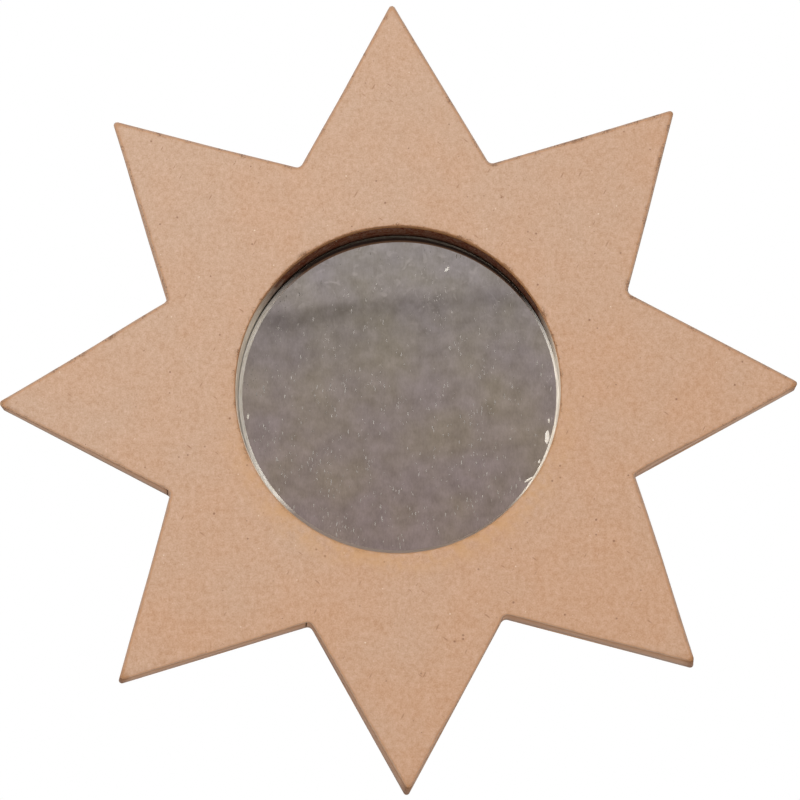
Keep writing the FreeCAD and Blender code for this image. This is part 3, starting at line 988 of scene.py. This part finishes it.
# %% [markdown]
# Dust lies on the mirror: grains and bits of card that look like short upright dashes, since
# each one stands just above its own image. They repeat over a surface, so Geometry Nodes
# scatter them with a fixed seed. Each grain is a flattened ball of twenty faces.

# %% Dust on the mirror
DUST_DENSITY = 260000.0     # grains for each square metre
DUST_GRAIN = 0.18 * MM
DUST_CLUMP = 9 * MM
DUST_FALL = -0.7            # what the clumps lose for each metre of height: more dust lies low
DUST_TALL = 4.0             # height of a grain over its breadth
DUST_FLAT = 0.25            # share of its size that it stands out
DUST_LEAN = 0.2             # radians to either side
DUST_SEED = 11
DUST_MARGIN = 0.5 * MM      # bare border of the silver


def torn_card(name, dull, bright):
    """Torn fibres of card, as dust or as flakes: matt and pale, never quite white."""
    material, tree = empty_material(name)
    place = add(tree, COORDS).outputs["Object"]
    shade = add(tree, NOISE, {"Vector": place, "Scale": 1 / (2 * MM), "Detail": 1.0})
    tint = add(tree, RAMP, {"Fac": shade}, ((0.35, dull), (0.75, bright)))
    return coated(material, tree, {"Base Color": tint, "Roughness": 0.9})


def dust_tree(material):
    tree, given, identifiers = tree_with("mirror_dust", (
        ("Radius", "Float"), ("Depth", "Float"), ("Density", "Float"), ("Grain", "Float"), ("Clump", "Float"),
        ("Seed", "Int")))
    disc = add(tree, "GeometryNodeMeshCircle", {"Vertices": 96, "Radius": given["Radius"]}, fill_type="NGON")
    grains = add(tree, "GeometryNodeDistributePointsOnFaces", {"Mesh": disc, "Density": given["Density"],
                 "Seed": given["Seed"]}, distribute_method="RANDOM")
    # it gathers in clumps: a grain stays where a slow noise beats its own random number
    place = add(tree, "GeometryNodeInputPosition")
    spot = add(tree, SPLIT, {0: place}).outputs
    slow = add(tree, "DIVIDE", (1.0, given["Clump"]))
    clump = add(tree, NOISE, {"Vector": place, "Scale": slow, "Detail": 1.0})
    luck = add(tree, RANDOM, {"Min": 0.42, "Max": 0.66, "Seed": 3}, data_type="FLOAT")
    fallen = add(tree, "MULTIPLY_ADD", (spot["Y"], DUST_FALL, clump))
    bare = add(tree, "LESS_THAN", (fallen, luck))
    grains = add(tree, "GeometryNodeDeleteGeometry", {"Geometry": grains, "Selection": bare}, domain="POINT")
    towards = add(tree, "MULTIPLY", (given["Depth"], -1.0))
    upright = add(tree, JOIN, {"X": spot["X"], "Y": towards, "Z": spot["Y"]})
    stood = add(tree, "GeometryNodeSetPosition", {"Geometry": grains, "Position": upright})
    ball = add(tree, "GeometryNodeMeshIcoSphere", {"Radius": given["Grain"], "Subdivisions": 1})
    size = add(tree, RANDOM, {"Min": 0.0, "Max": 1.0, "Seed": given["Seed"]}, data_type="FLOAT")
    size = add(tree, "POWER", (size, 3.0))
    size = add(tree, "MULTIPLY_ADD", (size, 0.75, 0.45))
    tall = add(tree, "MULTIPLY", (size, DUST_TALL))
    shape = add(tree, JOIN, {"X": size, "Y": DUST_FLAT, "Z": tall})
    lean = add(tree, RANDOM, {"Min": -DUST_LEAN, "Max": DUST_LEAN, "Seed": 5}, data_type="FLOAT")
    turn = add(tree, TURN, {"Axis": (0.0, 1.0, 0.0), "Angle": lean})
    dust = add(tree, "GeometryNodeInstanceOnPoints", {"Points": stood, "Instance": ball, "Rotation": turn,
               "Scale": shape})
    finished(tree, dust, material)
    return tree, identifiers


grain_tree, grain_inputs = dust_tree(torn_card("card_dust", "#928C88", "#B0ABA7"))
dust_mesh = baked("mirror_dust", grain_tree, grain_inputs, {
    "Radius": silver_radius - DUST_MARGIN, "Depth": mirror_front, "Density": DUST_DENSITY,
    "Grain": DUST_GRAIN, "Clump": DUST_CLUMP, "Seed": DUST_SEED})
new_piece("mirror_dust", dust_mesh, "star")

# %% [markdown]
# A few larger bits of torn white card lie at the mirror's edge. Each is a small ragged flake:
# a ring of points at uneven distances, with a raised middle, so that no two look alike.

# %% Flakes at the mirror's edge
FLAKES = (                  # across, up, breadth and length in millimetres, turn in degrees
    (45.9, -14.6, 1.5, 4.2, 8), (16.2, 39.5, 1.0, 1.7, 40), (39.8, -28.0, 0.7, 3.0, 55),
    (46.6, -9.6, 0.6, 1.6, -5), (-46.9, -6.0, 0.6, 2.0, 4), (43.2, -22.4, 0.6, 1.2, 30))
FLAKE_SIDES = 11
FLAKE_RIM = 0.12 * MM       # height of its border
FLAKE_CROWN = 0.28 * MM     # and of its middle


def flakes(material):
    """All flakes as one mesh, each a low ragged dome on the glass."""
    form = bmesh.new()
    for number, (x, z, breadth, length, turn) in enumerate(FLAKES):
        angle = math.radians(turn)
        points = []
        for i in range(FLAKE_SIDES):
            t = 2 * math.pi * i / FLAKE_SIDES
            ragged = 1 + 0.28 * math.sin(3.1 * i + 1.7 * number) + 0.14 * math.sin(5.3 * i + number)
            across, up = 0.5 * breadth * ragged * math.sin(t), 0.5 * length * ragged * math.cos(t)
            points.append((x * MM + (across * math.cos(angle) + up * math.sin(angle)) * MM,
                           z * MM + (up * math.cos(angle) - across * math.sin(angle)) * MM))
        low = [form.verts.new((px, -mirror_front, pz)) for px, pz in points]
        high = [form.verts.new((px, -mirror_front - FLAKE_RIM, pz)) for px, pz in points]
        top = form.verts.new((x * MM, -mirror_front - FLAKE_CROWN, z * MM))
        form.faces.new(low)
        for i in range(FLAKE_SIDES):
            j = (i + 1) % FLAKE_SIDES
            form.faces.new((low[i], low[j], high[j], high[i]))
            form.faces.new((high[i], high[j], top))
    return outward_mesh("mirror_flakes", form, material)


white_card = torn_card("torn_white_card", "#E4DED6", "#FBF9F5")
new_piece("mirror_flakes", flakes(white_card), "star")

# %% [markdown]
# The hanger at the back and the layers inside keep the shape of their solids and get a
# finish: nickel-plated steel for the strap, the wire and the washer, brass for the rivet,
# white foam for the tape, grey board for the card patch.

# %% Finishes of the solids
def dull_metal(name, stretch, grain, detail, tints, roughness):
    """A metal whose tint and gloss follow one grain, from its dull to its bright parts."""
    material, tree = empty_material(name)
    place = add(tree, MAPPING, {"Vector": add(tree, COORDS).outputs["Object"], "Scale": stretch})
    dull = add(tree, NOISE, {"Vector": place, "Scale": 1 / grain, "Detail": detail})
    tint = add(tree, RAMP, {"Fac": dull}, ((0.3, tints[0]), (0.7, tints[1])))
    rough = add(tree, RANGE, (dull, 0.3, 0.7, *roughness))
    return coated(material, tree, {"Base Color": tint, "Metallic": 1.0, "Roughness": rough})


def plated_steel():
    """Nickel over steel wire and sheet: bright, faintly drawn along its length, a little dulled."""
    return dull_metal("nickel_plated_steel", (1.0, 8.0, 8.0), 1.6 * MM, 2.0, ("#B4B0A6", "#CDC9C0"),
                      (0.22, 0.4))


def rivet_brass():
    """Turned brass, dulled by handling, with brown in its hollows."""
    return dull_metal("dull_brass", (1.0, 1.0, 1.0), 0.8 * MM, 3.0, ("#A9853F", "#D3B468"), (0.45, 0.25))


def foam_tape():
    """White foam: matt, with open pores."""
    material, tree = empty_material("white_foam_tape")
    place = add(tree, COORDS).outputs["Object"]
    pores = add(tree, "ShaderNodeTexVoronoi", {"Vector": place, "Scale": 1 / (0.5 * MM)})
    tint = add(tree, RAMP, {"Fac": pores}, ((0.1, "#C9C7C0"), (0.45, "#EDECE6")))
    return coated(material, tree, {"Base Color": tint, "Roughness": 0.85})


def dress(material, *nodes):
    for node in nodes:
        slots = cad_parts[node].data.materials
        slots.clear()
        slots.append(material)
    print(material.name, "on", nodes)


dress(plated_steel(), "hanger_strap", "hanger_triangle", "rivet_washer")
dress(rivet_brass(), "hanger_rivet")
dress(foam_tape(), *[f"mirror_tape_{i + 1}" for i in range(4)])
dress(board, "hanger_card")
